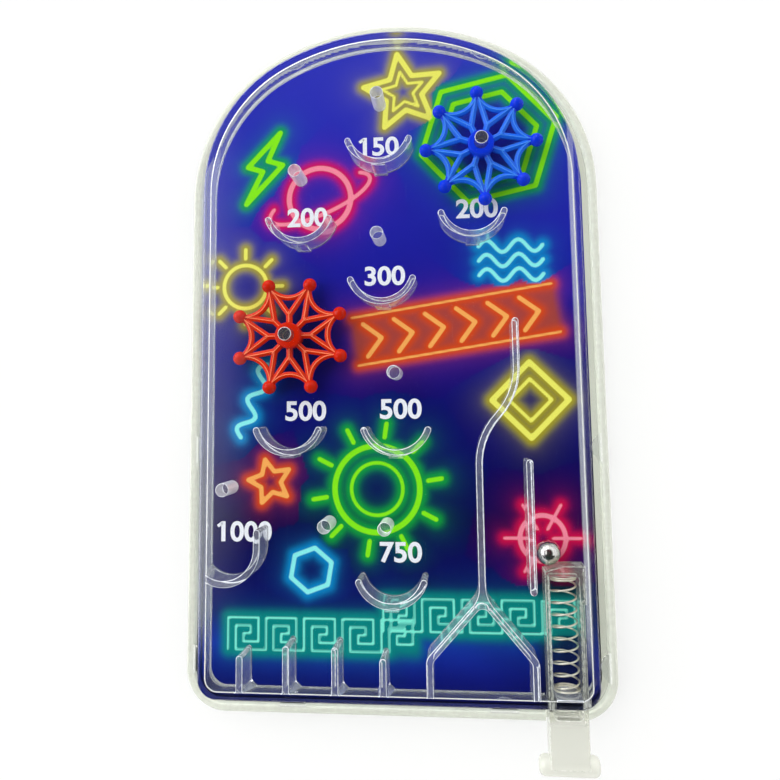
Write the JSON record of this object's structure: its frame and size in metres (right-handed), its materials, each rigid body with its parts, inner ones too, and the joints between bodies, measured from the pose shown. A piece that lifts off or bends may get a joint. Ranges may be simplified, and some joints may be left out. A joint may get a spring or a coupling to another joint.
{
  "type": "pocket pinball game",
  "caption": "Flat clear hand-held pinball game with an arched case, printed card, score cups, pins, lanes, two web spinners, a sprung plunger and a loose steel ball.",
  "frame": {"origin": "centre of the tray's flat underside", "axes": "+Y from the plunger towards the arched top, +Z out of the window, lying on its back"},
  "size_m": [0.084, 0.1494, 0.0105],
  "materials": {
    "clear_plastic": "clear moulded polystyrene",
    "card_print": "glossy print in dark blue with neon line motifs",
    "red_plastic": "moulded, glossy",
    "blue_plastic": "moulded, glossy",
    "spring_steel": "bright drawn wire",
    "ball_steel": "polished"
  },
  "bodies": {
    "case": {"base_tray": "clear_plastic", "cover": "clear_plastic", "spring_seat": "clear_plastic", "fork_rail": "clear_plastic", "curved_rail": "clear_plastic", "launch_rail": "clear_plastic", "score_cup_1000": "clear_plastic", "red_spinner_pin": "clear_plastic", "blue_spinner_pin": "clear_plastic", "bumper_pin_top": "clear_plastic", "bumper_pin_upper_left": "clear_plastic", "bumper_pin_upper_middle": "clear_plastic", "bumper_pin_centre": "clear_plastic", "bumper_pin_wall": "clear_plastic", "bumper_pin_lower_left": "clear_plastic", "bumper_pin_lower_middle": "clear_plastic", "score_cup_150": "clear_plastic", "score_cup_200_left": "clear_plastic", "score_cup_200_right": "clear_plastic", "score_cup_300": "clear_plastic", "score_cup_500_left": "clear_plastic", "score_cup_500_right": "clear_plastic", "score_cup_750": "clear_plastic", "lane_divider_1": "clear_plastic", "lane_divider_2": "clear_plastic", "lane_divider_3": "clear_plastic", "lane_divider_4": "clear_plastic", "playfield_card": "card_print", "launch_spring": "spring_steel"},
    "plunger": {"plunger": "clear_plastic"},
    "red_spinner": {"red_spinner": "red_plastic"},
    "blue_spinner": {"blue_spinner": "blue_plastic"},
    "ball": {"ball": "ball_steel"}
  },
  "joints": [
    {"name": "plunger_pull", "type": "slide", "parent": "case", "child": "plunger", "axis": [0, -1, 0], "range_m": [0, 0.0135], "stiffness_N_per_m": 60, "springref_m": -0.004, "deforming": ["launch_spring"]},
    {"name": "red_spinner_turn", "type": "hinge", "parent": "case", "child": "red_spinner", "pos_m": [-0.021, 0.00413, 0.00415], "axis": [0, 0, 1], "continuous": true},
    {"name": "blue_spinner_turn", "type": "hinge", "parent": "case", "child": "blue_spinner", "pos_m": [0.01898, 0.0427, 0.00415], "axis": [0, 0, 1], "continuous": true},
    {"name": "ball_roll", "type": "slide", "parent": "case", "child": "ball", "axis": [0, 1, 0], "range_m": [0, 0.06]}
  ]
}
